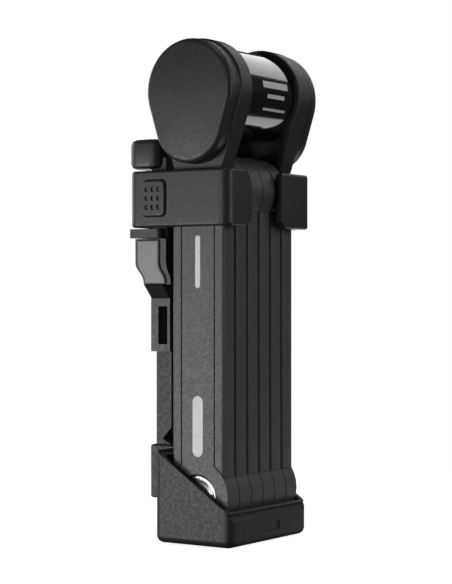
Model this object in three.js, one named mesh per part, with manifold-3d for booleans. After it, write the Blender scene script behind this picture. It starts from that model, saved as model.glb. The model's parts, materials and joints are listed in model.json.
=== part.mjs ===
// Folding bicycle lock stowed upright in its frame holder.
// Millimetres, +Z up. X runs along the lock barrel, -Y is the open front of the holder and
// +Y the side that faces the bicycle frame. The origin is the centre of the shoe's underside.
import * as THREE from "three";
import { mergeVertices } from "three/addons/utils/BufferGeometryUtils.js";
import Module from "manifold-3d";

const wasm = await Module();
wasm.setup();

// ---- driving dimensions ----
const GAP = 0.3; // clearance between touching pieces
const PAST = 1; // how far a cutting solid runs past the face it opens
const LINKS = 6;
const SLOT = 9.45; // thickness that one link takes in the stack
const HALF_STACK = (LINKS * SLOT) / 2;
const BOTTOM_Z = 21.3; // axis of the three lower rivets
const TOP_Z = 155; // axis of the two upper rivets
const HEAD_Z = 198; // axis of the lock barrel
const EYE_R = 16;
const EYE_SIDES = 32;
const PANEL_Y = 8.6; // half width of a link's centre panel
const STRIP_Y = 13.7; // half width over the two edge strips
const CORE_Y = 7; // half width of the steel bar inside a link
const CORE_T = 5;
const CORE_EYE_R = 10.5;
const RIVET_R = 3.4;
const RIVET_HEAD_R = 9.2;
const RIVET_HEAD_T = 1.4;
const RIVET_SINK = 0.25; // rivet heads lie this far below the link faces
const RIVET_CROWN = 0.6; // chamfer round a rivet head
const RIVET_BORE = RIVET_R + 0.1;
const CAP_R = 22.2; // round part of the teardrop ends
const CAP_LOW_R = 18; // round lower lobe of the teardrop ends
const CAP_DROP = 14; // from the barrel axis down to the lobe centre
const CAP_X = 37.2; // outer face of the end caps
const CAP_RIM = 2.3;
const PLATE_R = 22.9;
const PLATE_RIM = 0.7;
const FOOT = { y: 12.7, z0: HEAD_Z - 37.7, z1: HEAD_Z - 34 }; // straight foot of a head plate
const TONGUE_TOP = HEAD_Z - 14; // end links' steel runs up into the head plates
const BARREL_R = 20.4;
const BARREL_WALL = 2.2;
const BARREL_X = SLOT * 2 - GAP; // half length of the barrel between the head plates
const GROOVE = { width: 2.2, depth: 1.2, lean: 0.4 }; // along the barrel's upper front
const PLUG_R = 6.2;
const PLUG_X = 4.6; // inner end of the key plug
const PLUG_SINK = 2.4; // its face lies this far inside the cap's
const KEYWAY = { wide: 2.2, high: 8.4, deep: 9.6 };
const COLLAR_R = 9.1; // collar of the lock body round the key plug
const COLLAR_SINK = 2;
const RUN = 0.2; // radial clearance of a turning or sliding rod
const BOLT_R = 4;
const BOLT_X = 3.6; // inner end of the bolt
const COVER = { r: 10.5, armY: 4, pinDrop: 15, pinR: 1.5, thick: 1.6 }; // swinging keyhole cover
const PIN_DEEP = 6; // reach of the cover's pin into the cap
const PIN_PROUD = 0.6;
const GRIP = { z0: 6.6, z1: 8.2, proud: 1 }; // finger ridge on the cover, above the barrel axis
const PIN_Z = HEAD_Z - COVER.pinDrop;
const SHOE_X = 31.6; // half width of the shoe outside
const SHOE_WALL = 2.4;
const SHOE_FRONT = 19.6;
const SHOE_BACK = 21.4;
const SHOE_FLOOR = 5;
const SHOE_HIGH = 40.6; // height of the shoe at the back
const SHOE_LOW = 14.6; // height of the shoe at the front
const SHOE_ROUND = 4; // upright corners
const SHOE_KEEL = 3; // rounding under the shoe
const TAIL = { z0: 18, z1: 42 }; // shoe's tail round the foot of the rail, up to its pad
const RAIL_X = 17.5;
const RAIL_Y0 = 21.7;
const RAIL_Y1 = 30;
const RAIL_Z0 = 20.4;
const RAIL_TOP = 130;
const RAIL_WEB = 3;
const RAIL_FLANGE = 3.5;
const TROUGH_Z = 44; // foot of the trough between the flanges
const NOTCH = { y: 26.5, z0: 41.5, z: 44.5, z1: 50.9 }; // slanted end of the rail's flanges
const PAD_Y = 31.6; // contact pads towards the bicycle frame
const PAD_X = RAIL_X + 2;
const CARRIER_X = 28.2;
const CARRIER_BACK = 39.2;
const HOUSING_X = 25.4;
const NECK = { z0: 107.5, z1: 113.7, turnLow: 114.7, turnHigh: 123.6, top: 134.1, ease: 0.45 };
const NECK_FRONT = { low: 16.6, top: 19.1 };
const NECK_BACK = { low: 31.3, top: 36 };
const WAIST = { x: 24, y0: 19.6, y1: 28.6, round: 1.5 };
const FLANGE = { z0: 134.4, z1: 138.4, y0: 20.4, y1: 38.2, round: 2.5 };
const UPPER_BLOCK = { y0: 21.6, z0: 165.3, z1: 178.4, round: 6, rim: 2.4 };
const CHANNEL_X = 14; // half width of the channel for the bicycle tube
const BAND_X = 33.8; // half width of the clip band outside
const BAND_WALL = 3.2;
const BAND_Z0 = 138.8;
const BAND_Z1 = 163.8;
const BAND_FRONT = 19.3;
const BAND_BACK = 34;
const BAND_ROUND = [2.4, 5, 5, 5]; // corners: front right, back right, back left, front left
const BAND_INNER_ROUND = [1, 3, 3, 3];
const BAND_RIM = 0.8;
const MOUTH = { x0: -14.5, x1: 9.8 }; // open front of the band
const BUTTON = { y: 19.4, z: 151.5, w: 12.8, h: 16.4, proud: 1.2, thick: 3.8 }; // thumb button
const DIMPLE = { r: 1.2, depth: 0.7, stepY: 3.2, stepZ: 3.9 };
const RELEASE_FRONT = { low: 19, top: 22.6 }; // grey release slide in the carrier's left side
const RELEASE_BACK = { low: 29.9, top: 34.1 };
const RELEASE_Z = { low: 114, top: 133.4 };
const RELEASE_X = { outer: -26.6, inner: -22, rim: 0.5 };
const STRAP_PAD = { z0: 83.7, z1: 108 };
const OVERLAP = 0.5; // how far joined solids of the carrier run into the rail's side
const RELEASE_REST = 2.5; // depth left behind the release slide for its travel
const STRAP = { y0: 22.6, y1: 27.6, z0: 87, z1: 104 }; // slot for a strap, right through
const SCREW_Z = [52, 116]; // frame screws, 64 mm apart
const SHOE_SCREW = { x: 9, z: 31, y0: 19.4, y1: 29, r: 1.9, head: 3.4 };
const FRAME_SCREW = { r: 2.5, head: 4.4, past: 8 };
const SCREW_HEAD_T = 2;
const DRIVE = 0.45; // size of a screw's drive in its head

// ---- materials ----
const finish = (color, roughness, metalness) =>
  new THREE.MeshStandardMaterial({ color, roughness, metalness });
const LOOK = {
  link: finish(0x3a3a3a, 0.62, 0),
  cap: finish(0x353536, 0.5, 0),
  gloss: finish(0x0c0c0d, 0.08, 0),
  holder: finish(0x262626, 0.55, 0),
  grey: finish(0x858a88, 0.5, 0),
  steel: finish(0xb9bcbf, 0.25, 1),
  chrome: finish(0xd8dadc, 0.1, 1),
};

// ---- solids ----
// A closed geometry as a manifold solid, after the given placement.
function solid(geometry, matrix = new THREE.Matrix4()) {
  const g = geometry.index ? geometry.toNonIndexed() : geometry.clone();
  g.deleteAttribute("normal");
  g.deleteAttribute("uv");
  const merged = mergeVertices(g.applyMatrix4(matrix), 1e-4);
  return new wasm.Manifold(
    new wasm.Mesh({
      numProp: 3,
      vertProperties: merged.attributes.position.array,
      triVerts: new Uint32Array(merged.index.array),
    }),
  );
}

const Y = new THREE.Vector3(0, 1, 0);
const Z = new THREE.Vector3(0, 0, 1);
const X = new THREE.Vector3(1, 0, 0);
const ALONG_X = new THREE.Matrix4().makeBasis(Y, Z, X); // outline in YZ, depth along X
const ALONG_Y = new THREE.Matrix4().makeBasis(X, Z, Y.clone().negate()); // outline in XZ
const shift = (x, y, z) => new THREE.Matrix4().makeTranslation(x, y, z);

function block(x0, x1, y0, y1, z0, z1) {
  const g = new THREE.BoxGeometry(x1 - x0, y1 - y0, z1 - z0);
  return solid(g, shift((x0 + x1) / 2, (y0 + y1) / 2, (z0 + z1) / 2));
}

// An outline in (y, z) given depth along X, with an optional bevel round both faces.
function plate(shape, x0, x1, bevel = 0, steps = 2) {
  const g = new THREE.ExtrudeGeometry(shape, {
    depth: x1 - x0 - 2 * bevel,
    curveSegments: 12,
    bevelEnabled: bevel > 0,
    bevelThickness: bevel,
    bevelSize: bevel,
    bevelOffset: -bevel,
    bevelSegments: steps,
  });
  return solid(g, shift(x0 + bevel, 0, 0).multiply(ALONG_X));
}

// An outline in (x, z) given depth along Y.
function wall(shape, y0, y1) {
  const g = new THREE.ExtrudeGeometry(shape, { depth: y1 - y0, bevelEnabled: false });
  return solid(g, shift(0, y1, 0).multiply(ALONG_Y));
}

// An outline in (x, y) raised along Z.
function slab(shape, z0, z1, bevel = 0) {
  const g = new THREE.ExtrudeGeometry(shape, {
    depth: z1 - z0 - 2 * bevel,
    curveSegments: 4,
    bevelEnabled: bevel > 0,
    bevelThickness: bevel,
    bevelSize: bevel,
    bevelOffset: -bevel,
    bevelSegments: 2,
  });
  return solid(g, shift(0, 0, z0 + bevel));
}

// A rod along X, Y or Z between two places on its axis, which passes through (a, b).
function rodX(r, x0, x1, y, z, sides = 20) {
  const g = new THREE.CylinderGeometry(r, r, x1 - x0, sides).rotateZ(-Math.PI / 2);
  return solid(g, shift((x0 + x1) / 2, y, z));
}

function rodY(r, y0, y1, x, z, sides = 12) {
  const g = new THREE.CylinderGeometry(r, r, y1 - y0, sides);
  return solid(g, shift(x, (y0 + y1) / 2, z));
}

// A turned piece along X: points are [distance along X, radius], from low X to high X.
function turned(points, z, sides = 32) {
  const profile = points.map(([along, r]) => new THREE.Vector2(r, along));
  return solid(new THREE.LatheGeometry(profile, sides).rotateZ(-Math.PI / 2), shift(0, 0, z));
}

function polygon(points) {
  return new THREE.Shape(points.map(([u, v]) => new THREE.Vector2(u, v)));
}

// Radii run round from the corner at (x1, y0); one number gives all four.
function roundedRect(x0, x1, y0, y1, radii) {
  const [a, b, c, d] = Array.isArray(radii) ? radii : [radii, radii, radii, radii];
  const s = new THREE.Shape();
  s.absarc(x1 - a, y0 + a, a, -Math.PI / 2, 0);
  s.absarc(x1 - b, y1 - b, b, 0, Math.PI / 2);
  s.absarc(x0 + c, y1 - c, c, Math.PI / 2, Math.PI);
  s.absarc(x0 + d, y0 + d, d, Math.PI, Math.PI * 1.5);
  s.closePath();
  return s;
}

// Teardrop in (y, z): a large round head and a smaller lobe below, joined by tangents.
function teardrop(R, r, drop) {
  const lean = Math.asin((R - r) / drop);
  const s = new THREE.Shape();
  s.absarc(0, HEAD_Z, R, -lean, Math.PI + lean);
  s.absarc(0, HEAD_Z - drop, r, Math.PI + lean, 2 * Math.PI - lean);
  s.closePath();
  return s;
}

// Round head in (y, z) whose tangents run down to a straight foot.
function footedRound(R, y, z0, z1) {
  const drop = HEAD_Z - z1;
  const touch = Math.acos(R / Math.hypot(y, drop)) - Math.atan2(drop, y);
  const s = new THREE.Shape();
  s.absarc(0, HEAD_Z, R, touch, Math.PI - touch);
  s.lineTo(-y, z1);
  s.lineTo(-y, z0);
  s.lineTo(y, z0);
  s.lineTo(y, z1);
  s.closePath();
  return s;
}

const root = new THREE.Group();

// Adds a solid to the object as a named mesh with its own material.
function add(name, made, look) {
  const m = made.getMesh();
  const g = new THREE.BufferGeometry();
  g.setAttribute("position", new THREE.BufferAttribute(new Float32Array(m.vertProperties), 3));
  g.setIndex(new THREE.BufferAttribute(new Uint32Array(m.triVerts), 1));
  const mesh = new THREE.Mesh(g, LOOK[look].clone());
  mesh.name = name;
  root.add(mesh);
}

// ---- links ----
const slotLow = (i) => -HALF_STACK + SLOT * (i - 1) + GAP / 2;
const slotHigh = (i) => -HALF_STACK + SLOT * i - GAP / 2;
const slotMiddle = (i) => (slotLow(i) + slotHigh(i)) / 2;
const endLink = (i) => i === 1 || i === LINKS;
const eyesOf = (i) => (endLink(i) ? [BOTTOM_Z] : [BOTTOM_Z, TOP_Z]);
const linkTop = (i) => (endLink(i) ? FOOT.z0 - GAP : TOP_Z);

// The steel bar's shape, grown by a clearance where it is used to cut.
function coreShape(i, grow) {
  const x0 = slotMiddle(i) - CORE_T / 2 - grow;
  const x1 = slotMiddle(i) + CORE_T / 2 + grow;
  const top = endLink(i) ? TONGUE_TOP + grow : TOP_Z;
  let made = block(x0, x1, -CORE_Y - grow, CORE_Y + grow, BOTTOM_Z, top);
  for (const z of eyesOf(i)) made = made.add(rodX(CORE_EYE_R + grow, x0, x1, 0, z, EYE_SIDES));
  return made;
}

function linkCore(i) {
  let core = coreShape(i, 0);
  for (const z of eyesOf(i)) core = core.subtract(rodX(RIVET_BORE, slotLow(i), slotHigh(i), 0, z));
  return core;
}

// Recess over the steel for a rivet head, on the side away from the riveted neighbour.
function headRecess(i, z) {
  const joinsNext = (z === BOTTOM_Z) === (i % 2 === 1);
  const middle = slotMiddle(i);
  const [x0, x1] = joinsNext ? [slotLow(i) - PAST, middle] : [middle, slotHigh(i) + PAST];
  return rodX(RIVET_HEAD_R + GAP, x0, x1, 0, z, EYE_SIDES);
}

// Moulded jacket of a link: round eyes and the centre panel, hollow where the steel lies.
function linkJacket(i) {
  const x0 = slotLow(i);
  const x1 = slotHigh(i);
  let jacket = block(x0, x1, -PANEL_Y, PANEL_Y, BOTTOM_Z, linkTop(i));
  for (const z of eyesOf(i)) jacket = jacket.add(rodX(EYE_R, x0, x1, 0, z, EYE_SIDES));
  jacket = jacket.subtract(coreShape(i, GAP));
  for (const z of eyesOf(i)) {
    jacket = jacket.subtract(rodX(RIVET_BORE, x0 - PAST, x1 + PAST, 0, z));
    jacket = jacket.subtract(headRecess(i, z));
  }
  return jacket;
}

// Strip along one edge of a link, with ends hollowed to the eyes' circles.
function edgeStrip(i, side) {
  const x0 = slotLow(i);
  const x1 = slotHigh(i);
  const [y0, y1] = side < 0 ? [-STRIP_Y, -PANEL_Y - GAP] : [PANEL_Y + GAP, STRIP_Y];
  let strip = slab(roundedRect(x0, x1, y0, y1, 1), BOTTOM_Z, linkTop(i));
  for (const z of eyesOf(i))
    strip = strip.subtract(rodX(EYE_R + GAP, x0 - PAST, x1 + PAST, 0, z, EYE_SIDES));
  return strip;
}

// Rivet through the eyes of links i and i + 1, with a low head in each recess.
function rivet(i) {
  const z = i % 2 === 1 ? BOTTOM_Z : TOP_Z;
  const x0 = slotLow(i) + RIVET_SINK;
  const x1 = slotHigh(i + 1) - RIVET_SINK;
  const profile = [
    [x0, 0],
    [x0, RIVET_HEAD_R - RIVET_CROWN],
    [x0 + RIVET_CROWN, RIVET_HEAD_R],
    [x0 + RIVET_HEAD_T, RIVET_HEAD_R],
    [x0 + RIVET_HEAD_T, RIVET_R],
    [x1 - RIVET_HEAD_T, RIVET_R],
    [x1 - RIVET_HEAD_T, RIVET_HEAD_R],
    [x1 - RIVET_CROWN, RIVET_HEAD_R],
    [x1, RIVET_HEAD_R - RIVET_CROWN],
    [x1, 0],
  ];
  return turned(profile, z, 24);
}

for (let i = 1; i <= LINKS; i++) {
  add(`link_${i}_core`, linkCore(i), "steel");
  add(`link_${i}_jacket`, linkJacket(i), "link");
  add(`link_${i}_front_strip`, edgeStrip(i, -1), "link");
  add(`link_${i}_back_strip`, edgeStrip(i, 1), "link");
  if (i < LINKS) add(`rivet_${i}_${i + 1}`, rivet(i), "chrome");
}

// ---- head ----
// Inner teardrop plate at an end link's slot, with a pocket for the link's tongue.
function headPlate(side) {
  const i = side < 0 ? 1 : LINKS;
  const x0 = slotLow(i);
  const x1 = slotHigh(i);
  const made = plate(footedRound(PLATE_R, FOOT.y, FOOT.z0, FOOT.z1), x0, x1, PLATE_RIM, 1);
  const bore = rodX(side < 0 ? BOLT_R + 2 * RUN : COLLAR_R + GAP, x0 - PAST, x1 + PAST, 0, HEAD_Z, 28);
  return made.subtract(coreShape(i, GAP)).subtract(bore);
}

// Outer teardrop cap with a bevelled rim.
function headCap(side) {
  const inner = HALF_STACK + GAP / 2;
  const whole = plate(teardrop(CAP_R, CAP_LOW_R, CAP_DROP), inner - 2 * CAP_RIM, CAP_X, CAP_RIM, 3);
  const reach = 2 * CAP_R;
  const hidden = block(inner - reach, inner, -reach, reach, HEAD_Z - reach, HEAD_Z + reach);
  const cap = whole.subtract(hidden);
  if (side < 0) return cap.mirror([1, 0, 0]);
  const end = CAP_X + PAST;
  const pinHole = rodX(COVER.pinR + RUN, CAP_X - PIN_DEEP - GAP, end, 0, PIN_Z, 16);
  return cap.subtract(rodX(COLLAR_R + GAP, inner - PAST, end, 0, HEAD_Z, 28)).subtract(pinHole);
}

function barrelCover() {
  const end = BARREL_X + PAST;
  const tube = rodX(BARREL_R, -BARREL_X, BARREL_X, 0, HEAD_Z, 44);
  const bore = rodX(BARREL_R - BARREL_WALL, -end, end, 0, HEAD_Z, 36);
  const cutter = new THREE.BoxGeometry(2 * end, GROOVE.width, 2 * GROOVE.depth);
  const lean = new THREE.Matrix4().makeRotationX(GROOVE.lean);
  const place = shift(0, 0, HEAD_Z).multiply(lean).multiply(shift(0, 0, BARREL_R));
  return tube.subtract(bore).subtract(solid(cutter, place));
}

// Lock body inside the cover: a collar reaches through the right plate and cap.
function lockCore() {
  const r = BARREL_R - BARREL_WALL - GAP;
  const chamfer = 1;
  const collarEnd = CAP_X - COLLAR_SINK;
  const body = turned(
    [
      [-BARREL_X, 0],
      [-BARREL_X, r - chamfer],
      [-BARREL_X + chamfer, r],
      [BARREL_X, r],
      [BARREL_X, COLLAR_R],
      [collarEnd, COLLAR_R],
      [collarEnd, 0],
    ],
    HEAD_Z,
  );
  const plugBore = rodX(PLUG_R + RUN, PLUG_X - 2 * GAP, CAP_X + PAST, 0, HEAD_Z, 28);
  const boltBore = rodX(BOLT_R + RUN, -BARREL_X - PAST, PLUG_X, 0, HEAD_Z, 28);
  return body.subtract(plugBore).subtract(boltBore);
}

function keyPlug() {
  const face = CAP_X - PLUG_SINK;
  const { wide, high, deep } = KEYWAY;
  const keyway = block(face - deep, CAP_X, -wide / 2, wide / 2, HEAD_Z - high / 2, HEAD_Z + high / 2);
  return rodX(PLUG_R, PLUG_X, face, 0, HEAD_Z, 28).subtract(keyway);
}

function keyCover() {
  const x0 = CAP_X + GAP;
  const x1 = x0 + COVER.thick;
  const disc = rodX(COVER.r, x0, x1, 0, HEAD_Z, 36);
  const arm = block(x0, x1, -COVER.armY, COVER.armY, PIN_Z - 2 * COVER.pinR, HEAD_Z);
  const ridge = [-COVER.armY, COVER.armY, HEAD_Z + GRIP.z0, HEAD_Z + GRIP.z1];
  const grip = block(x0, x1 + GRIP.proud, ...ridge);
  const hole = rodX(COVER.pinR + RUN, x0 - PAST, x1 + PAST, 0, PIN_Z);
  return disc.add(arm).add(grip).subtract(hole);
}

add("left_head_plate", headPlate(-1), "cap");
add("right_head_plate", headPlate(1), "cap");
add("left_end_cap", headCap(-1), "cap");
add("right_end_cap", headCap(1), "cap");
add("key_cover", keyCover(), "cap");
const pinEnd = CAP_X + COVER.thick + PIN_PROUD;
add("key_cover_pin", rodX(COVER.pinR, CAP_X - PIN_DEEP, pinEnd, 0, PIN_Z, 16), "steel");
add("barrel_cover", barrelCover(), "gloss");
add("lock_core", lockCore(), "steel");
add("key_plug", keyPlug(), "steel");
add("latch_bolt", rodX(BOLT_R, -BARREL_X + RUN, BOLT_X, 0, HEAD_Z, 28), "steel");

// ---- holder ----
const REACH = 60; // reach of the cutting solids beyond the holder's sides

function shoe() {
  const upright = roundedRect(-SHOE_X, SHOE_X, -SHOE_FRONT, SHOE_BACK, SHOE_ROUND);
  const outer = slab(upright, 0, SHOE_HIGH + SHOE_KEEL, SHOE_KEEL);
  const inX = SHOE_X - SHOE_WALL;
  const inY = -SHOE_FRONT + SHOE_WALL;
  const pocket = slab(roundedRect(-inX, inX, inY, EYE_R + 1, 1.6), SHOE_FLOOR, REACH);
  const brow = 1.5; // drop of the slope's last step below the back edge
  const above = polygon([
    [-REACH, SHOE_LOW],
    [-SHOE_FRONT + 1, SHOE_LOW],
    [EYE_R + 2, SHOE_HIGH - brow],
    [EYE_R + 3, SHOE_HIGH],
    [REACH, SHOE_HIGH],
    [REACH, REACH],
    [-REACH, REACH],
  ]);
  const tail = block(-PAD_X, PAD_X, SHOE_BACK - SHOE_KEEL, PAD_Y, TAIL.z0, TAIL.z1);
  const railX = RAIL_X + GAP;
  const railRoom = block(-railX, railX, RAIL_Y0 - GAP, RAIL_Y1 + GAP, RAIL_Z0 - GAP, REACH);
  let made = outer.subtract(plate(above, -REACH, REACH)).add(tail);
  made = made.subtract(pocket).subtract(railRoom);
  const { r, head, y0, z } = SHOE_SCREW;
  for (const x of [-SHOE_SCREW.x, SHOE_SCREW.x]) {
    made = made.subtract(rodY(r + GAP, EYE_R, RAIL_Y0, x, z));
    made = made.subtract(rodY(head + GAP, EYE_R, y0 + GAP, x, z));
  }
  return made;
}

// U-shaped rail: flanges towards the lock, web towards the bicycle frame.
function rail() {
  const bar = block(-RAIL_X, RAIL_X, RAIL_Y0, RAIL_Y1, RAIL_Z0, RAIL_TOP);
  const inX = RAIL_X - RAIL_FLANGE;
  const troughY = [RAIL_Y0 - PAST, RAIL_Y1 - RAIL_WEB];
  const trough = block(-inX, inX, ...troughY, TROUGH_Z, RAIL_TOP + PAST);
  const notch = polygon([
    [RAIL_Y0 - PAST, NOTCH.z0],
    [NOTCH.y, NOTCH.z],
    [RAIL_Y0 - PAST, NOTCH.z1],
  ]);
  const strap = block(-REACH, REACH, STRAP.y0, STRAP.y1, STRAP.z0, STRAP.z1);
  let made = bar.subtract(trough).subtract(plate(notch, -REACH, REACH)).subtract(strap);
  const { r, y1, z } = SHOE_SCREW;
  for (const x of [-SHOE_SCREW.x, SHOE_SCREW.x])
    made = made.subtract(rodY(r + GAP, RAIL_Y0 - PAST, y1 + GAP, x, z));
  for (const hole of SCREW_Z)
    made = made.subtract(rodY(FRAME_SCREW.r + GAP, RAIL_Y0, RAIL_Y1 + PAST, 0, hole));
  return made;
}

// Outline in (y, z) that swings from its lower to its upper places between the two turns.
function swanNeck(front, back, z0, z1, grow = 0) {
  const { turnLow, turnHigh } = NECK;
  const swing = (turnHigh - turnLow) * NECK.ease;
  const s = new THREE.Shape();
  s.moveTo(front.low - grow, z0 - grow);
  s.lineTo(back.low + grow, z0 - grow);
  const low = [back.low + grow, turnLow + swing];
  s.bezierCurveTo(...low, back.top + grow, turnHigh - swing, back.top + grow, turnHigh);
  s.lineTo(back.top + grow, z1 + grow);
  s.lineTo(front.top - grow, z1 + grow);
  s.lineTo(front.top - grow, turnHigh);
  const high = [front.top - grow, turnHigh - swing];
  s.bezierCurveTo(...high, front.low - grow, turnLow + swing, front.low - grow, turnLow);
  s.closePath();
  return s;
}

const releaseOutline = (grow) =>
  swanNeck(RELEASE_FRONT, RELEASE_BACK, RELEASE_Z.low, RELEASE_Z.top, grow);

const tubeChannel = () => block(-CHANNEL_X, CHANNEL_X, PAD_Y, REACH, STRAP_PAD.z1, HEAD_Z);

// Carrier on the rail: strap pad below, tapered throat, and the housing of the release.
function carrier() {
  const strapPad = block(-PAD_X, PAD_X, RAIL_Y0 - OVERLAP, PAD_Y, STRAP_PAD.z0, STRAP_PAD.z1);
  const throat = polygon([
    [-PAD_X, NECK.z0],
    [PAD_X, NECK.z0],
    [HOUSING_X, NECK.z1],
    [-HOUSING_X, NECK.z1],
  ]);
  const housing = plate(swanNeck(NECK_FRONT, NECK_BACK, NECK.z1, NECK.top), -HOUSING_X, HOUSING_X);
  const railX = RAIL_X + GAP;
  const railRoom = block(-railX, railX, EYE_R, RAIL_Y1 + GAP, STRAP_PAD.z0 - PAST, RAIL_TOP + GAP);
  const strapSlot = block(-REACH, REACH, STRAP.y0, STRAP.y1, STRAP.z0, STRAP.z1);
  const slideRoom = plate(releaseOutline(GAP), -REACH, RELEASE_X.inner + RELEASE_REST);
  let made = strapPad.add(wall(throat, RAIL_Y0 - OVERLAP, NECK_BACK.low)).add(housing);
  made = made.subtract(railRoom).subtract(strapSlot).subtract(slideRoom).subtract(tubeChannel());
  for (const z of SCREW_Z)
    made = made.subtract(rodY(FRAME_SCREW.head + PAST, RAIL_Y1 - 2 * PAST, PAD_Y + 4 * PAST, 0, z));
  return made;
}

// Saddle on the carrier: flange, waist for the clip band, and the upper block.
function saddle() {
  const waistShape = roundedRect(-WAIST.x, WAIST.x, WAIST.y0, WAIST.y1, WAIST.round);
  const waist = slab(waistShape, FLANGE.z0, UPPER_BLOCK.z0 + 2 * UPPER_BLOCK.rim);
  const flangeShape = roundedRect(-CARRIER_X, CARRIER_X, FLANGE.y0, FLANGE.y1, FLANGE.round);
  const flange = slab(flangeShape, FLANGE.z0, FLANGE.z1);
  const { y0, z0, z1, round, rim } = UPPER_BLOCK;
  const upper = slab(roundedRect(-CARRIER_X, CARRIER_X, y0, CARRIER_BACK, round), z0, z1, rim);
  return waist.add(flange).add(upper).subtract(tubeChannel());
}

// Elastic band that holds the stack: closed at the back, open between two lips in front.
function clipBand() {
  const shape = roundedRect(-BAND_X, BAND_X, -BAND_FRONT, BAND_BACK, BAND_ROUND);
  const outer = slab(shape, BAND_Z0, BAND_Z1, BAND_RIM);
  const inX = BAND_X - BAND_WALL;
  const inY = [-BAND_FRONT + BAND_WALL, BAND_BACK - BAND_WALL];
  const low = BAND_Z0 - PAST;
  const high = BAND_Z1 + PAST;
  const inner = slab(roundedRect(-inX, inX, ...inY, BAND_INNER_ROUND), low, high);
  const mouth = block(MOUTH.x0, MOUTH.x1, -BAND_FRONT - PAST, -EYE_R / 2, low, high);
  const halfW = BUTTON.w / 2 + GAP;
  const halfH = BUTTON.h / 2 + GAP;
  const across = [BUTTON.y - halfW, BUTTON.y + halfW, BUTTON.z - halfH, BUTTON.z + halfH];
  const window = block(-BAND_X - PAST, -inX + PAST, ...across);
  return outer.subtract(inner).subtract(mouth).subtract(window);
}

// Thumb button with nine dimples; it slides inwards through the band's window.
function thumbButton() {
  const x0 = -BAND_X - BUTTON.proud;
  const { y, z, w, h, thick } = BUTTON;
  let made = block(x0, x0 + thick, y - w / 2, y + w / 2, z - h / 2, z + h / 2);
  for (let row = -1; row <= 1; row++)
    for (let column = -1; column <= 1; column++) {
      const py = y + column * DIMPLE.stepY;
      const pz = z + row * DIMPLE.stepZ;
      made = made.subtract(rodX(DIMPLE.r, x0 - PAST, x0 + DIMPLE.depth, py, pz, 10));
    }
  return made;
}

// Pan head screw along Y from y0 to y1, with its head and drive before y0.
function screw(x, z, y0, y1, r, head) {
  const top = y0 - SCREW_HEAD_T;
  const drive = rodY(head * DRIVE, top - PAST, y0 - SCREW_HEAD_T / 2, x, z, 6);
  return rodY(r, y0, y1, x, z).add(rodY(head, top, y0, x, z)).subtract(drive);
}

add("shoe", shoe(), "holder");
add("rail", rail(), "holder");
add("carrier", carrier(), "holder");
add("saddle", saddle(), "holder");
add("clip_band", clipBand(), "holder");
add("thumb_button", thumbButton(), "holder");
const { outer: releaseOut, inner: releaseIn, rim: releaseRim } = RELEASE_X;
add("release_slide", plate(releaseOutline(0), releaseOut, releaseIn, releaseRim, 1), "grey");
for (const [name, side] of [["left", -1], ["right", 1]]) {
  const { x, z, y0, y1, r, head } = SHOE_SCREW;
  add(`shoe_screw_${name}`, screw(side * x, z, y0, y1, r, head), "steel");
}
SCREW_Z.forEach((z, k) => {
  const name = k === 0 ? "frame_screw_lower" : "frame_screw_upper";
  const y0 = RAIL_Y1 - RAIL_WEB - GAP;
  add(name, screw(0, z, y0, RAIL_Y1 + FRAME_SCREW.past, FRAME_SCREW.r, FRAME_SCREW.head), "steel");
});

export default root;
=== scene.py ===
"""Looks for the folding bicycle lock stowed in its frame holder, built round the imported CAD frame.

The scene is in metres: +Z up, X along the lock barrel, -Y the open front, +Y towards the bicycle
frame. The shape functions take millimetres in the same frame and multiply by MM.
"""
import json
import math

import bmesh
import bpy
from mathutils import Matrix, Vector


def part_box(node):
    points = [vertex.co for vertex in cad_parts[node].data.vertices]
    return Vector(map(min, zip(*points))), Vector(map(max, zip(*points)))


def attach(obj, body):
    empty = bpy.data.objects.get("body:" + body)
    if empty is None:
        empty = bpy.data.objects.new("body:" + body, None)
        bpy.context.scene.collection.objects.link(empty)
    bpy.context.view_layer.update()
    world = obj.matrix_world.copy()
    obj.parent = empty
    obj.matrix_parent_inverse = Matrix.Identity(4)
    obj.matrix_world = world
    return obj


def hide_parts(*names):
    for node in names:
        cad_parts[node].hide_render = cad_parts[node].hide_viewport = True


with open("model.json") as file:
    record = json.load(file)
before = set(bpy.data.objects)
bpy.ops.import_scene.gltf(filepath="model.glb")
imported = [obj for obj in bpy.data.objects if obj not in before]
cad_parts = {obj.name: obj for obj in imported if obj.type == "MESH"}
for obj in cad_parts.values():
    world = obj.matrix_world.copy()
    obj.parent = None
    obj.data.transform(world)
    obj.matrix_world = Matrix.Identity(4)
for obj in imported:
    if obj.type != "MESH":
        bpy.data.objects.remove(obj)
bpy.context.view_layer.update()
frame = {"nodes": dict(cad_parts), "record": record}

MM = 0.001
LINKS = 6
EYE_R = 16   # radius of a link's round ends, and half its depth
CORE_Y = 7   # half the depth of a link's steel bar
GAP = 0.3    # room round an inner part
BODY_OF = {n: b for b, ns in frame["record"]["behaviour"]["bodies"].items() for n in ns}


# ---- materials ----
def material(name, colour, rough, metal=0.0, coat=0.0, coat_rough=0.05, spec=0.5):
    """A Principled material with constants on its sockets: itself, its node tree and its shader."""
    m = bpy.data.materials.new(name)
    m.use_nodes = True
    p = m.node_tree.nodes["Principled BSDF"]
    p.inputs["Base Color"].default_value = (*colour, 1)
    p.inputs["Roughness"].default_value = rough
    p.inputs["Metallic"].default_value = metal
    p.inputs["Specular IOR Level"].default_value = spec
    p.inputs["Coat Weight"].default_value = coat
    p.inputs["Coat Roughness"].default_value = coat_rough
    return m, m.node_tree, p


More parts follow.
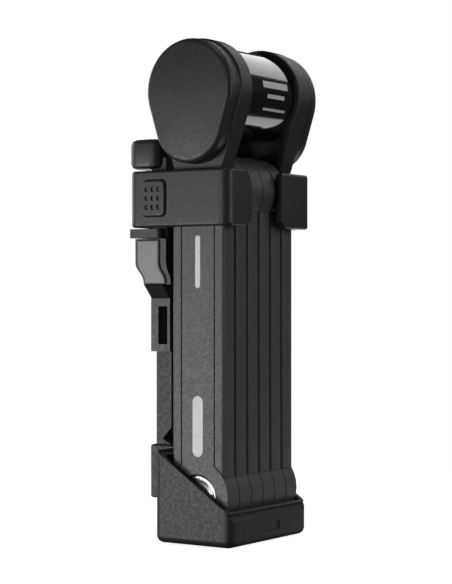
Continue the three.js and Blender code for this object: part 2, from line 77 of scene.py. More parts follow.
def noise(tree, scale, detail, stretch=(1, 1, 1)):
    """Noise over the object's own coordinates, which are the row frame in metres."""
    where = tree.nodes.new("ShaderNodeTexCoord")
    size = tree.nodes.new("ShaderNodeMapping")
    size.inputs["Scale"].default_value = stretch
    made = tree.nodes.new("ShaderNodeTexNoise")
    made.inputs["Scale"].default_value = scale
    made.inputs["Detail"].default_value = detail
    tree.links.new(where.outputs["Object"], size.inputs["Vector"])
    tree.links.new(size.outputs["Vector"], made.inputs["Vector"])
    return made


RAMP_START = 0.3
RAMP_STOP = 0.7


def ramp(tree, source, low, high):
    """A colour ramp from low to high over the middle of the source's range."""
    made = tree.nodes.new("ShaderNodeValToRGB")
    made.color_ramp.elements[0].position = RAMP_START
    made.color_ramp.elements[1].position = RAMP_STOP
    made.color_ramp.elements[0].color = (*low, 1)
    made.color_ramp.elements[1].color = (*high, 1)
    tree.links.new(source, made.inputs["Fac"])
    return made


def bump(tree, p, source, distance, strength, below=None):
    """Adds a bump from source to the shader, on top of another bump if given."""
    made = tree.nodes.new("ShaderNodeBump")
    made.inputs["Distance"].default_value = distance
    made.inputs["Strength"].default_value = strength
    tree.links.new(source, made.inputs["Height"])
    if below:
        tree.links.new(below.outputs["Normal"], made.inputs["Normal"])
    tree.links.new(made.outputs["Normal"], p.inputs["Normal"])
    return made


CLOUD_SCALE = 90
GLOSS_SCALE = 700
GLOSS_SPREAD = 0.07
WAVE_SCALE = 60
WAVE_DEPTH = 0.00008
PATCH_SCALE = 300
MARK_SCALE = 1800
FLOW_SCALE = 40
FLOW_DEPTH = 0.00012
SPECK_SCALE = 3000


def moulded(name, colour, rough, grain, grain_scale, vary, spec=0.5):
    """Plastic or paint: fine grain on a slight waviness, faint cloudiness and uneven gloss."""
    m, tree, p = material(name, colour, rough, spec=spec)
    cloud = noise(tree, CLOUD_SCALE, 4)
    dark = tuple(c * (1 - vary) for c in colour)
    light = tuple(c * (1 + vary) for c in colour)
    tint = ramp(tree, cloud.outputs["Fac"], dark, light)
    tree.links.new(tint.outputs["Color"], p.inputs["Base Color"])
    gloss = noise(tree, GLOSS_SCALE, 3)
    smooth, dull = rough - GLOSS_SPREAD, rough + GLOSS_SPREAD
    uneven = ramp(tree, gloss.outputs["Fac"], (smooth,) * 3, (dull,) * 3)
    tree.links.new(uneven.outputs["Color"], p.inputs["Roughness"])
    fine = noise(tree, grain_scale, 2)
    wave = noise(tree, WAVE_SCALE, 2)
    under = bump(tree, p, wave.outputs["Fac"], WAVE_DEPTH, 0.2)
    bump(tree, p, fine.outputs["Fac"], grain, 0.8, under)
    return m


def metal_finish(name, colour, rough, brush=0.00001, stretch=(1, 1, 1)):
    """Turned or polished metal with fine tool marks, stretched if asked, and patchy gloss."""
    m, tree, p = material(name, colour, rough, metal=1.0)
    patch = noise(tree, PATCH_SCALE, 3)
    uneven = ramp(tree, patch.outputs["Fac"], (rough * 0.7,) * 3, (rough * 1.4,) * 3)
    tree.links.new(uneven.outputs["Color"], p.inputs["Roughness"])
    marks = noise(tree, MARK_SCALE, 2, stretch)
    bump(tree, p, marks.outputs["Fac"], brush, 0.6)
    return m


def gloss_black():
    """Lacquered black cover: deep, clear-coated, with a trace of moulding flow."""
    m, tree, p = material("gloss_black", (0.006, 0.006, 0.007), 0.12, coat=1.0, coat_rough=0.03)
    flow = noise(tree, FLOW_SCALE, 2)
    bump(tree, p, flow.outputs["Fac"], FLOW_DEPTH, 0.25)
    speck = noise(tree, SPECK_SCALE, 2)
    uneven = ramp(tree, speck.outputs["Fac"], (0.09,) * 3, (0.16,) * 3)
    tree.links.new(uneven.outputs["Color"], p.inputs["Roughness"])
    return m


# Plastics: colour, roughness, the grain's depth in metres and its scale, how far the colour varies, and
# the specular level where it isn't 0.5. Metals: colour, roughness, the tool marks' depth and stretch.
MAT = {
    "link_sleeve": moulded("sleeve_plastic", (0.072, 0.072, 0.071), 0.50, 0.00006, 1500, 0.07),
    "link_steel": moulded("coated_steel", (0.020, 0.0195, 0.019), 0.40, 0.00002, 2200, 0.07),
    "head_cap": moulded("cap_plastic", (0.020, 0.020, 0.020), 0.44, 0.00009, 1500, 0.06),
    "barrel_gloss": gloss_black(),
    "holder_plastic": moulded("holder_plastic", (0.019, 0.019, 0.0186), 0.44, 0.00003, 1800, 0.05),
    # A darker, less shiny copy of the holder plastic: painted shade for the shoe and the rail, the lower
    # parts further back, which lie in shade.
    "holder_painted_shade": moulded("holder_painted_shade", (0.016, 0.016, 0.0157), 0.48, 0.00003, 1800, 0.05, 0.37),
    "release_grey": moulded("grey_plastic", (0.25, 0.265, 0.262), 0.48, 0.00003, 1800, 0.05),
    "rivet_chrome": metal_finish("rivet_chrome", (0.55, 0.56, 0.57), 0.30),
    "lock_steel": metal_finish("lock_steel", (0.50, 0.51, 0.53), 0.28, 0.00002, (0.2, 1, 1)),
    "print_white": moulded("print_white", (0.75, 0.76, 0.76), 0.5, 0.00001, 2500, 0.04),
}


# ---- mesh helpers ----
def new_object(name, bm):
    """A linked object from a bmesh, with outward faces."""
    bmesh.ops.recalc_face_normals(bm, faces=bm.faces)
    mesh = bpy.data.meshes.new(name)
    bm.to_mesh(mesh)
    bm.free()
    made = bpy.data.objects.new(name, mesh)
    bpy.context.scene.collection.objects.link(made)
    return made


def apply_all(obj):
    """Applies the object's modifiers to its mesh."""
    dg = bpy.context.evaluated_depsgraph_get()
    mesh = bpy.data.meshes.new_from_object(obj.evaluated_get(dg))
    obj.modifiers.clear()
    old = obj.data
    obj.data = mesh
    bpy.data.meshes.remove(old)


def combine(obj, tool, how):
    """Joins or cuts obj with tool, exactly, and removes the tool."""
    mod = obj.modifiers.new("combine", "BOOLEAN")
    mod.operation = how
    mod.solver = "EXACT"
    mod.object = tool
    apply_all(obj)
    bpy.data.objects.remove(tool)


def cut(obj, *tools):
    """Cuts the tools out of obj. They reach past it, so that no face is left standing."""
    for tool in tools:
        combine(obj, tool, "DIFFERENCE")
    return obj


def fuse(obj, tool):
    """Adds the tool to obj."""
    combine(obj, tool, "UNION")


AXES = {"x": (1, 2, 0), "y": (0, 2, 1), "z": (0, 1, 2)}


def prism(name, outline, axis, low, high, rim=0.0, steps=3):
    """An outline given depth along an axis, in millimetres, with both rims rounded.

    The outline's pairs are (y, z) for axis x, (x, z) for axis y and (x, y) for axis z.
    """
    a, b, c = AXES[axis]
    bm = bmesh.new()
    rings = []
    for level in (low, high):
        ring = []
        for u, v in outline:
            co = [0.0, 0.0, 0.0]
            co[a], co[b], co[c] = u * MM, v * MM, level * MM
            ring.append(bm.verts.new(co))
        rings.append(ring)
    caps = [bm.faces.new(rings[0]), bm.faces.new(rings[1])]
    count = len(outline)
    for i in range(count):
        j = (i + 1) % count
        bm.faces.new((rings[0][i], rings[0][j], rings[1][j], rings[1][i]))
    if rim:
        bmesh.ops.recalc_face_normals(bm, faces=bm.faces)
        edges = [e for f in caps for e in f.edges]
        bmesh.ops.bevel(bm, geom=edges, offset=rim * MM, segments=steps, profile=0.5,
                        affect="EDGES")
    return new_object(name, bm)


def arc(cx, cy, r, start, stop, steps):
    """Points of an arc, angles in degrees."""
    turn = [math.radians(start + (stop - start) * i / steps) for i in range(steps + 1)]
    return [(cx + r * math.cos(t), cy + r * math.sin(t)) for t in turn]


def rounded(x0, x1, y0, y1, radii, steps):
    """A rectangle with round corners; radii run round from the corner at (x1, y0)."""
    a, b, c, d = radii if isinstance(radii, tuple) else (radii,) * 4
    points = arc(x1 - a, y0 + a, a, -90, 0, steps)
    points += arc(x1 - b, y1 - b, b, 0, 90, steps)
    points += arc(x0 + c, y1 - c, c, 90, 180, steps)
    return points + arc(x0 + d, y0 + d, d, 180, 270, steps)


def loft(name, rings):
    """A solid through rings of (y, z) points at places along X, closed by its end rings."""
    bm = bmesh.new()
    made = [[bm.verts.new((x * MM, y * MM, z * MM)) for y, z in ring] for x, ring in rings]
    bm.faces.new(made[0])
    bm.faces.new(made[-1])
    for one, two in zip(made, made[1:]):
        for k in range(len(one)):
            n = (k + 1) % len(one)
            bm.faces.new((one[k], one[n], two[n], two[k]))
    return new_object(name, bm)


def rod(name, axis, r, low, high, a, b, steps=48, rim=0.0):
    """A cylinder along an axis through the point (a, b) of the other two."""
    return prism(name, arc(a, b, r, 0, 360 - 360 / steps, steps - 1), axis, low, high, rim)


def block(name, x0, x1, y0, y1, z0, z1, rim=0.0):
    """A box, its top and bottom edges rounded if asked."""
    outline = [(x0, y0), (x1, y0), (x1, y1), (x0, y1)]
    return prism(name, outline, "z", z0, z1, rim)


MERGE = 2e-6          # metres
FLAT_ANGLE = 0.6      # faces closer than this become one
EDGE_ANGLE = 28       # sharper edges are rounded
SMOOTH_ANGLE = 32     # and edges still sharper after that keep a hard shade
NORMAL_WEIGHT = 80


def soften(obj, width, steps=2):
    """Rounds the sharp edges and shades the rest smooth, with flat faces kept flat."""
    bm = bmesh.new()
    bm.from_mesh(obj.data)
    bmesh.ops.remove_doubles(bm, verts=bm.verts, dist=MERGE)
    flat = math.radians(FLAT_ANGLE)
    bmesh.ops.dissolve_limit(bm, angle_limit=flat, verts=bm.verts, edges=bm.edges)
    bm.to_mesh(obj.data)
    bm.free()
    if width:
        mod = obj.modifiers.new("edges", "BEVEL")
        mod.width = width * MM
        mod.segments = steps
        mod.limit_method = "ANGLE"
        mod.angle_limit = math.radians(EDGE_ANGLE)
        mod.use_clamp_overlap = True
        apply_all(obj)
    obj.data.shade_smooth()
    obj.data.set_sharp_from_angle(angle=math.radians(SMOOTH_ANGLE))
    mod = obj.modifiers.new("flat_faces", "WEIGHTED_NORMAL")
    mod.weight = NORMAL_WEIGHT
    mod.keep_sharp = True
    apply_all(obj)


def dress(obj, node, slot, look=None):
    """Gives a piece the body of the CAD node it stands for and the slot's material or another look, and
    hides the node.
    """
    obj.data.materials.clear()
    obj.data.materials.append(MAT[look or slot])
    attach(obj, BODY_OF[node])
    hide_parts(node)


PRINT_ROOT = 0.04    # print: below the surface, and above it
PRINT_HIGH = 0.05


def printed(obj, node):
    """White print on a node's surface, in a material of its own, as no slot is white. No slot
    is white: it goes by the lightest plastic one.
    """
    obj.data.materials.append(MAT["print_white"])
    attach(obj, BODY_OF[node])


def refine(node, slot, width, steps, look=None):
    """A finer copy of a CAD node: same shape, rounded edges, smooth faces."""
    mesh = frame["nodes"][node].data.copy()
    obj = bpy.data.objects.new(node + "_fine", mesh)
    bpy.context.scene.collection.objects.link(obj)
    soften(obj, width, steps)
    dress(obj, node, slot, look)


def span(node):
    """A CAD node's box in millimetres: low corner and high corner."""
    low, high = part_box(node)
    return low / MM, high / MM


# ---- head ----
head_low, head_high = span("barrel_cover")
HEAD_Z = (head_low.z + head_high.z) / 2
BARREL_R = (head_high.z - head_low.z) / 2
LOBE_R = 18          # lower round of the end caps
CAP_STEPS = 56
CAP_RIM = 2.3        # rounding of their outer edge
CAP_DOME = 1.0       # rise of the crowned face above that edge
CAP_RINGS = (0.9, 0.78, 0.64, 0.48, 0.32, 0.16, 0.04)   # sizes of the crowned face's rings
LINE_IN = 1.7        # parting line: from the inner face, half its width, and its depth
LINE_HALF = 0.2
LINE_DEEP = 0.35
PIN_HOLE_R = 1.7
COLLAR_BORE = 9.4
BOLT_BORE = 4.4
FOOT_Y = 12.7        # half the depth of a head plate's straight foot
FOOT_DROP = 34       # from the barrel's axis down to where the foot begins
PLATE_STEPS = 72


def teardrop(R, r, drop):
    """A cap's outline: R about the barrel's axis, r at the drop below it, and their tangents."""
    lean = math.degrees(math.asin((R - r) / drop))
    points = arc(0, HEAD_Z, R, -lean, 180 + lean, CAP_STEPS)
    return points + arc(0, HEAD_Z - drop, r, 180 + lean, 360 - lean, CAP_STEPS // 2)


def end_cap(side):
    """Outer teardrop cap: crowned face, round rim, fine parting line close to the inner face."""
    node = "left_end_cap" if side < 0 else "right_end_cap"
    low, high = span(node)
    R = (high.y - low.y) / 2
    drop = HEAD_Z - low.z - LOBE_R
    outer, inner = (low.x, high.x) if side < 0 else (high.x, low.x)
    edge = outer - side * CAP_DOME
    rings = [(inner, teardrop(R, LOBE_R, drop))]
    for angle in range(0, 91, 15):
        sunk = CAP_RIM * (1 - math.cos(math.radians(angle)))
        place = edge - side * CAP_RIM * (1 - math.sin(math.radians(angle)))
        rings.append((place, teardrop(R - sunk, LOBE_R - sunk, drop)))
    rim = rings[-1][1]
    centre = HEAD_Z - drop / 3
    for size in CAP_RINGS:
        ring = [(y * size, centre + (z - centre) * size) for y, z in rim]
        rings.append((edge + side * CAP_DOME * (1 - size * size), ring))
    cap = loft(node + "_fine", rings)
    line = inner + side * LINE_IN
    over = teardrop(R + 1, LOBE_R + 1, drop)
    groove = prism("groove", over, "x", line - LINE_HALF, line + LINE_HALF)
    under = teardrop(R - LINE_DEEP, LOBE_R - LINE_DEEP, drop)
    core = prism("core", under, "x", line - 1, line + 1)
    cut(cap, cut(groove, core))
    if side > 0:
        pin_low, pin_high = span("key_cover_pin")
        pin_z = (pin_low.z + pin_high.z) / 2
        cut(cap, rod("bore", "x", COLLAR_BORE, low.x - 1, high.x + 1, 0, HEAD_Z))
        cut(cap, rod("pin_hole", "x", PIN_HOLE_R, pin_low.x - 0.3, high.x + 1, 0, pin_z, 20))
    soften(cap, 0)
    dress(cap, node, "head_cap")


def footed_round(R, low_z):
    """A head plate's outline: round above, with tangents down to a straight foot."""
    reach = math.hypot(FOOT_Y, FOOT_DROP)
    touch = math.degrees(math.acos(R / reach) - math.atan2(FOOT_DROP, FOOT_Y))
    points = arc(0, HEAD_Z, R, touch, 180 - touch, PLATE_STEPS)
    foot = HEAD_Z - FOOT_DROP
    return points + [(-FOOT_Y, foot), (-FOOT_Y, low_z), (FOOT_Y, low_z), (FOOT_Y, foot)]


def head_plate(side):
    """Inner plate of the head: it runs down into the end link and holds the top of its bar."""
    node = "left_head_plate" if side < 0 else "right_head_plate"
    low, high = span(node)
    R = (high.y - low.y) / 2
    made = prism(node + "_fine", footed_round(R, low.z), "x", low.x, high.x, 0.8, 4)
    core_low, core_high = span("link_1_core" if side < 0 else f"link_{LINKS}_core")
    pocket = (core_low.x - GAP, core_high.x + GAP, -CORE_Y - GAP, CORE_Y + GAP)
    cut(made, block("pocket", *pocket, low.z - 8, core_high.z + GAP))
    bore = BOLT_BORE if side < 0 else COLLAR_BORE
    cut(made, rod("bore", "x", bore, low.x - 1, high.x + 1, 0, HEAD_Z))
    soften(made, 0.3, 3)
    dress(made, node, "head_cap")


BARREL_WALL = 2.2
GROOVE_LEAN = 0.4    # radians from the top towards the front
GROOVE_HALF = 1.1
GROOVE_DEEP = 1.2
RING_IN = 2.2        # ring grooves: from the end, half their width, and their depth
RING_HALF = 0.15
RING_DEEP = 0.3


def barrel():
    """Glossy cover with a groove along its upper front and a fine ring groove near each end."""
    x0, x1 = head_low.x, head_high.x
    made = rod("barrel_cover_fine", "x", BARREL_R, x0, x1, 0, HEAD_Z, 128, 0.5)
    cut(made, rod("inside", "x", BARREL_R - BARREL_WALL, x0 - 1, x1 + 1, 0, HEAD_Z, 96))
    deep, over = BARREL_R - GROOVE_DEEP, BARREL_R + 3
    groove = block("groove", x0 - 1, x1 + 1, -GROOVE_HALF, GROOVE_HALF, deep, over)
    lean = Matrix.Rotation(GROOVE_LEAN, 4, "X")
    groove.data.transform(Matrix.Translation((0, 0, HEAD_Z * MM)) @ lean)
    cut(made, groove)
    for end, inward in ((x0, 1), (x1, -1)):
        place = end + inward * RING_IN
        near, far = place - RING_HALF, place + RING_HALF
        ring = rod("ring", "x", BARREL_R + 1, near, far, 0, HEAD_Z, 128)
        core_r = BARREL_R - RING_DEEP
        cut(ring, rod("ring_core", "x", core_r, place - 1, place + 1, 0, HEAD_Z, 128))
        cut(made, ring)
    soften(made, 0.2, 2)
    dress(made, "barrel_cover", "barrel_gloss")


# Plain bars on the barrel: degrees above its front, half the length along it, and size round it.
BARREL_BARS = ((11, 10, 3.0), (-3.4, 6.9, 1.8), (-20, 8.9, 1.2))
BARREL_BARS_X = 3.4
BARREL_BAR_STEPS = 12


def barrel_print():
    """Three plain bars printed on the barrel's front, following its curve."""
    steps = BARREL_BAR_STEPS
    for k, (angle, half, size) in enumerate(BARREL_BARS):
        spread = math.degrees(size / BARREL_R) / 2
        turn = [math.radians(angle - spread + 2 * spread * s / steps) for s in range(steps + 1)]
        bm = bmesh.new()
        rings = []
        for r in (BARREL_R - PRINT_HIGH, BARREL_R + PRINT_HIGH):
            for x in (BARREL_BARS_X - half, BARREL_BARS_X + half):
                ring = [(x * MM, -r * MM * math.cos(t), (HEAD_Z + r * math.sin(t)) * MM) for t in turn]
                rings.append([bm.verts.new(co) for co in ring])
        for s in range(steps):
            for a, b in ((0, 1), (1, 3), (3, 2), (2, 0)):
                bm.faces.new((rings[a][s], rings[a][s + 1], rings[b][s + 1], rings[b][s]))
        for s in (0, steps):
            bm.faces.new((rings[0][s], rings[1][s], rings[3][s], rings[2][s]))
        printed(new_object(f"barrel_print_{k + 1}", bm), "barrel_cover")


# ---- links ----
STRIP_INNER = 0.25   # corner radii: towards the link, and outside
STRIP_OUTER = 1.5
DOT_R = 0.7          # mould dot: radius, below the middle, root inside the strip, and height
DOT_DROP = 8
DOT_ROOT = 0.4
DOT_HIGH = 0.22


def edge_strip(i, side):
    """Moulded strip along a link's edge: hollow to the eyes, round outside, with one mould dot."""
    node = f"link_{i}_front_strip" if side < 0 else f"link_{i}_back_strip"
    low, high = span(node)
    front, back = (STRIP_OUTER, STRIP_INNER) if side < 0 else (STRIP_INNER, STRIP_OUTER)
    radii = (front, back, back, front)
    outline = rounded(low.x, high.x, low.y, high.y, radii, 4)
    made = prism(node + "_fine", outline, "z", low.z, high.z)
    eyes = [span("rivet_1_2")] + ([] if i in (1, LINKS) else [span("rivet_2_3")])
    for eye_low, eye_high in eyes:
        z = (eye_low.z + eye_high.z) / 2
        cut(made, rod("eye", "x", EYE_R + GAP, low.x - 1, high.x + 1, 0, z, 96))
    face = low.y if side < 0 else high.y
    middle = (low.x + high.x) / 2
    dot = sorted((face - side * DOT_ROOT, face + side * DOT_HIGH))
    fuse(made, rod("dot", "y", DOT_R, *dot, middle, (low.z + high.z) / 2 - DOT_DROP, 16))
    soften(made, 0.16, 2)
    dress(made, node, "link_sleeve")


def link(i):
    """A link's jacket, its two edge strips and the steel bar inside."""
    refine(f"link_{i}_jacket", "link_sleeve", 0.45, 3)
    refine(f"link_{i}_core", "link_steel", 0.3, 2)
    edge_strip(i, -1)
    edge_strip(i, 1)


LINK_BARS = ((2.6, 112, 135), (5.4, 38.5, 65))   # width, low end and high end


def link_print():
    """Two plain bars printed on the first link's face."""
    face = span("link_1_jacket")[0].x
    for k, (width, z0, z1) in enumerate(LINK_BARS):
        outline = rounded(-width / 2, width / 2, z0, z1, width / 2 - 0.01, 6)
        made = prism(f"link_print_{k + 1}", outline, "x", face - PRINT_ROOT, face + PRINT_HIGH)
        printed(made, "link_1_jacket")


# A rivet's head from its middle out, as a share of its radius and the depth below its top.
RIVET_HEAD = ((0, 0), (0.35, 0), (0.6, 0.1), (0.74, 0.3), (0.78, 0.62), (0.83, 0.62), (0.87, 0.12),
              (0.95, 0.08), (1, 0.4), (1, 1.4))
RIVET_SHANK_R = 3.4
RIVET_STEPS = 64
RIVET_SHARP = 50


def rivet(i):
    """Turned rivet: a head with a ring groove in the recess of each of two neighbouring links."""
    node = f"rivet_{i}_{i + 1}"
    low, high = span(node)
    z = (low.z + high.z) / 2
    r = (high.z - low.z) / 2
    profile = [(r * share, low.x + deep) for share, deep in RIVET_HEAD]
    profile.append((RIVET_SHANK_R, profile[-1][1]))
    middle = (low.x + high.x) / 2
    profile += [(a, 2 * middle - b) for a, b in reversed(profile)]
    turn = [2 * math.pi * k / RIVET_STEPS for k in range(RIVET_STEPS)]
    bm = bmesh.new()
    rings = []
    for radius, x in profile:
        if radius == 0:
            rings.append([bm.verts.new((x * MM, 0, z * MM))])
            continue
        ring = [(x * MM, radius * MM * math.cos(t), (z + radius * math.sin(t)) * MM) for t in turn]
        rings.append([bm.verts.new(co) for co in ring])
    for one, two in zip(rings, rings[1:]):
        for k in range(RIVET_STEPS):
            n = (k + 1) % RIVET_STEPS
            if len(one) == 1:
                bm.faces.new((one[0], two[k], two[n]))
            elif len(two) == 1:
                bm.faces.new((one[k], one[n], two[0]))
            else:
                bm.faces.new((one[k], one[n], two[n], two[k]))
    made = new_object(node + "_fine", bm)
    made.data.shade_smooth()
    made.data.set_sharp_from_angle(angle=math.radians(RIVET_SHARP))
    dress(made, node, "rivet_chrome")


# ---- holder ----
BAND_WALL = 3.2
BAND_RIM = 1.3
BAND_OUTER = (2.4, 5, 5, 5)   # corner radii
BAND_INNER = (1, 3, 3, 3)
MOUTH_LEFT = -14.5
MOUTH_RIGHT = 9.8
MOUTH_BACK = -8
# Each side of the mouth: its place, the way into the lip, and the width and height of the rounding at
# the lip's low corner and at its high one.
LIPS = ((MOUTH_LEFT, -1, (9, 5), (11, 7)), (MOUTH_RIGHT, 1, (8, 4), (3, 2)))
BUTTON_GAP = 0.12
BUTTON_CORNER = 2.6
BUTTON_RIM = 1.15
DIMPLE_R = 1.15
DIMPLE_DEEP = 0.7
DIMPLE_ROW = 3.9
DIMPLE_COLUMN = 3.2


LIP_OVER = 3     # how far the corner cutter reaches past the lip
LIP_BACK = -10


def lip_corner(x, inward, z, up, wide, tall, front):
    """Cutter that rounds one corner of a lip to a quarter ellipse, in the band's front face."""
    cx, cz = x + inward * wide, z + up * tall
    turn = [math.radians(90 * k / 12) for k in range(13)]
    edge = [(cx - inward * wide * math.cos(t), cz - up * tall * math.sin(t)) for t in turn]
    past_x, past_z = x - inward * LIP_OVER, z - up * LIP_OVER
    edge += [(cx, past_z), (past_x, past_z), (past_x, cz)]
    return prism("corner", edge, "y", front - 2, LIP_BACK)


def clip_band():
    """Elastic band: round corners and soft lips that open in front."""
    low, high = span("clip_band")
    outer = rounded(low.x, high.x, low.y, high.y, BAND_OUTER, 10)
    made = prism("clip_band_fine", outer, "z", low.z, high.z, BAND_RIM, 4)
    inside = (low.x + BAND_WALL, high.x - BAND_WALL, low.y + BAND_WALL, high.y - BAND_WALL)
    cut(made, prism("inside", rounded(*inside, BAND_INNER, 8), "z", low.z - 2, high.z + 2))
    mouth = (MOUTH_LEFT, MOUTH_RIGHT, low.y - 2, MOUTH_BACK)
    cut(made, block("mouth", *mouth, low.z - 12, high.z + 12))
    for x, inward, low_corner, high_corner in LIPS:
        cut(made, lip_corner(x, inward, low.z, 1, *low_corner, low.y))
        cut(made, lip_corner(x, inward, high.z, -1, *high_corner, low.y))
    button_low, button_high = span("thumb_button")
    y0, y1 = button_low.y - BUTTON_GAP, button_high.y + BUTTON_GAP
    z0, z1 = button_low.z - BUTTON_GAP, button_high.z + BUTTON_GAP
    window = rounded(y0, y1, z0, z1, BUTTON_CORNER, 6)
    cut(made, prism("window", window, "x", low.x - 3, low.x + BAND_WALL + 1))
    soften(made, 0.35, 3)
    dress(made, "clip_band", "holder_plastic")


def thumb_button():
    """Thumb button: soft raised pad with nine round dimples."""
    low, high = span("thumb_button")
    outline = rounded(low.y, high.y, low.z, high.z, BUTTON_CORNER, 6)
    made = prism("thumb_button_fine", outline, "x", low.x, high.x, BUTTON_RIM, 6)
    y, z = (low.y + high.y) / 2, (low.z + high.z) / 2
    for row in (-1, 0, 1):
        for column in (-1, 0, 1):
            place = (y + column * DIMPLE_COLUMN, z + row * DIMPLE_ROW)
            cut(made, rod("dimple", "x", DIMPLE_R, low.x - 1, low.x + DIMPLE_DEEP, *place, 24))
    soften(made, 0.18, 3)
    dress(made, "thumb_button", "holder_plastic")


FAR = 60             # past the shoe on every side
SHOE_BACK = 21.4     # back of the pocket part; the tail goes on behind it
SHOE_WALL = 2.4
SHOE_FLOOR = 5
SHOE_CORNER = 4
POCKET_CORNER = 1.8
KEEL = 3.2           # rounding of the lower edge
SIDE_LOW = 14.6      # height of the sloped sides in front, and at the back
SIDE_HIGH = 40.6
RIM_TALL = 3.2       # chamfer of the front rim
RIM_DEEP = 2.4
TAIL_LOW = 18
SINK_R = 3.7         # a screw's sink and hole
SINK_DEEP = 2.3
HOLE_R = 2.2
MARK = (-8, 8, 4.6, 8.6)
MARK_R = 1.99
MARK_DEEP = 0.35


def shoe():
    """Shoe: soft keel and corners, sloped sides, chamfered front rim, a plain sunk mark."""
    low, high = span("shoe")
    front = low.y
    outer = rounded(low.x, high.x, front, SHOE_BACK, SHOE_CORNER, 12)
    made = prism("shoe_fine", outer, "z", 0, SIDE_HIGH + 6, KEEL, 7)
    above = [(-FAR, SIDE_LOW), (front + 1, SIDE_LOW), (EYE_R + 2, SIDE_HIGH - 1.5)]
    above += [(EYE_R + 3, SIDE_HIGH), (FAR, SIDE_HIGH), (FAR, FAR), (-FAR, FAR)]
    cut(made, prism("above", above, "x", -FAR, FAR))
    tail_low, tail_high = span("rail")
    tail_x = tail_high.x + 2
    fuse(made, block("tail", -tail_x, tail_x, SHOE_BACK - 3, high.y, TAIL_LOW, high.z, 0.8))
    inner = rounded(low.x + SHOE_WALL, high.x - SHOE_WALL, front + SHOE_WALL, EYE_R + 1, POCKET_CORNER, 6)
    cut(made, prism("pocket", inner, "z", SHOE_FLOOR, FAR, 0.8, 3))
    rim = [(front - 2, SIDE_LOW - RIM_TALL), (front + 0.1, SIDE_LOW - RIM_TALL)]
    rim += [(front + RIM_DEEP, SIDE_LOW + 0.1), (front - 2, SIDE_LOW + 0.1)]
    cut(made, prism("rim", rim, "x", -FAR, FAR))
    room = (tail_low.x - GAP, tail_high.x + GAP, tail_low.y - GAP, tail_high.y + GAP)
    cut(made, block("rail_room", *room, tail_low.z - GAP, FAR))
    for name in ("shoe_screw_left", "shoe_screw_right"):
        screw_low, screw_high = span(name)
        x, z = (screw_low.x + screw_high.x) / 2, (screw_low.z + screw_high.z) / 2
        cut(made, rod("sink", "y", SINK_R, EYE_R, screw_low.y + SINK_DEEP, x, z, 32))
        cut(made, rod("hole", "y", HOLE_R, EYE_R, tail_low.y, x, z, 24))
    cut(made, prism("mark", rounded(*MARK, MARK_R, 8), "y", front - 1, front + MARK_DEEP))
    soften(made, 0.3, 3)
    # The shoe wears the holder plastic's darker copy: painted shade.
    dress(made, "shoe", "holder_plastic", "holder_painted_shade")


# ---- build ----
for side in (-1, 1):
    end_cap(side)
    head_plate(side)
barrel()
barrel_print()
for i in range(1, LINKS + 1):
    link(i)
    if i < LINKS:
        rivet(i)
link_print()
clip_band()
thumb_button()
shoe()
refine("carrier", "holder_plastic", 0.6, 3)
refine("saddle", "holder_plastic", 0.5, 3)
# The rail wears the holder plastic's darker copy: painted shade.
refine("rail", "holder_plastic", 0.5, 3, "holder_painted_shade")
refine("release_slide", "release_grey", 0.5, 3)
refine("key_cover", "head_cap", 0.3, 2)
for node in ("lock_core", "key_plug", "latch_bolt", "key_cover_pin"):
    refine(node, "lock_steel", 0.2, 2)
for node in ("shoe_screw_left", "shoe_screw_right", "frame_screw_lower", "frame_screw_upper"):
    refine(node, "lock_steel", 0.15, 2)


# ---- studio ----
CAMERA_AZIMUTH = math.radians(-56.05)
CAMERA_DISTANCE = 0.7794
CAMERA_AIM = Vector((-0.0061, 0.0, 0.11035))
CAMERA_LENS = 107.7
WORLD_DIM = 0.03
FLOOR_R = 0.3
FLOOR_GLOW = 0.84
MIDDLE = (0, 0, 0.11)
HEAD = (0, 0, 0.2)


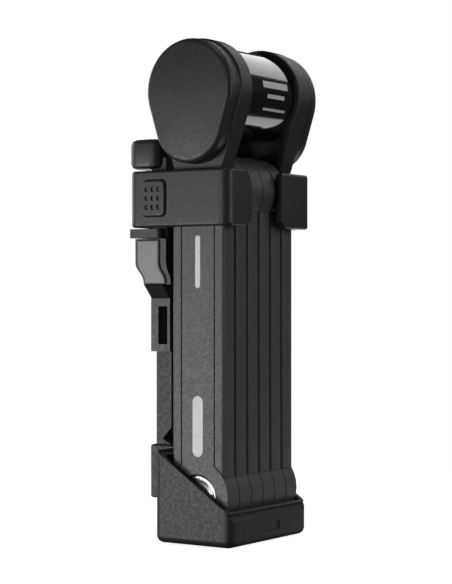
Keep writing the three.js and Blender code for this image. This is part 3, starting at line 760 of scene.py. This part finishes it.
def studio():
    """White surroundings for the eye, dim ones for the gloss, and a round pale floor."""
    scene = bpy.context.scene
    scene.view_settings.view_transform = "Standard"
    world = bpy.data.worlds.new("studio")
    world.use_nodes = True
    tree = world.node_tree
    seen = tree.nodes["Background"]
    seen.inputs["Color"].default_value = (1, 1, 1, 1)
    seen.inputs["Strength"].default_value = 1.0
    dim = tree.nodes.new("ShaderNodeBackground")
    dim.inputs["Color"].default_value = (1, 1, 1, 1)
    dim.inputs["Strength"].default_value = WORLD_DIM
    path = tree.nodes.new("ShaderNodeLightPath")
    mix = tree.nodes.new("ShaderNodeMixShader")
    tree.links.new(path.outputs["Is Camera Ray"], mix.inputs["Fac"])
    tree.links.new(dim.outputs["Background"], mix.inputs[1])
    tree.links.new(seen.outputs["Background"], mix.inputs[2])
    tree.links.new(mix.outputs["Shader"], tree.nodes["World Output"].inputs["Surface"])
    scene.world = world
    floor_mat, tree, p = material("floor_white", (0.85, 0.85, 0.85), 0.7, spec=0.2)
    p.inputs["Emission Color"].default_value = (1, 1, 1, 1)
    p.inputs["Emission Strength"].default_value = FLOOR_GLOW
    faint = noise(tree, 12, 3)
    bump(tree, p, faint.outputs["Fac"], 0.0004, 0.2)
    bm = bmesh.new()
    bmesh.ops.create_circle(bm, cap_ends=True, segments=96, radius=FLOOR_R)
    floor = new_object("floor", bm)
    floor.data.materials.append(floor_mat)
    floor.visible_diffuse = floor.visible_glossy = floor.visible_shadow = False


def area(name, place, aim, width, height, power):
    """A rectangular softbox that the camera itself doesn't see."""
    light = bpy.data.lights.new(name, "AREA")
    light.shape = "RECTANGLE"
    light.size, light.size_y = width, height
    light.energy = power
    made = bpy.data.objects.new(name, light)
    made.location = place
    made.rotation_euler = (Vector(aim) - Vector(place)).to_track_quat("-Z", "Y").to_euler()
    made.visible_camera = False
    bpy.context.scene.collection.objects.link(made)


def camera():
    """Level camera, fitted to the photo."""
    back = Vector((math.sin(CAMERA_AZIMUTH), -math.cos(CAMERA_AZIMUTH), 0))
    data = bpy.data.cameras.new("camera")
    data.lens = CAMERA_LENS
    data.sensor_width = 36
    data.clip_start, data.clip_end = 0.02, 50
    made = bpy.data.objects.new("camera", data)
    made.location = CAMERA_AIM + back * CAMERA_DISTANCE
    made.rotation_euler = (-back).to_track_quat("-Z", "Y").to_euler()
    bpy.context.scene.collection.objects.link(made)
    bpy.context.scene.camera = made


studio()
area("key_left", (-0.80, 0.54, -0.05), MIDDLE, 0.46, 0.30, 4.4)
area("side_left", (-0.9, -0.06, 0.02), MIDDLE, 0.10, 0.50, 2.0)
area("barrel_box", (0.66, 0.02, 0.58), HEAD, 0.60, 0.26, 0.7)
area("right_low", (0.40, -0.07, -0.065), HEAD, 0.22, 0.16, 0.16)
area("front_fill", (0.30, -1.1, 0.30), MIDDLE, 0.30, 0.70, 2.3)
area("right_soft", (0.75, -0.75, 0.55), HEAD, 0.30, 0.30, 0.9)
area("top", (-0.1, -0.2, 1.1), MIDDLE, 0.4, 0.4, 1.6)
area("side_right", (0.95, 0.50, -0.05), MIDDLE, 0.40, 0.50, 3.0)
area("back", (0.1, 1.1, 0.25), MIDDLE, 0.50, 0.60, 3.0)
camera()
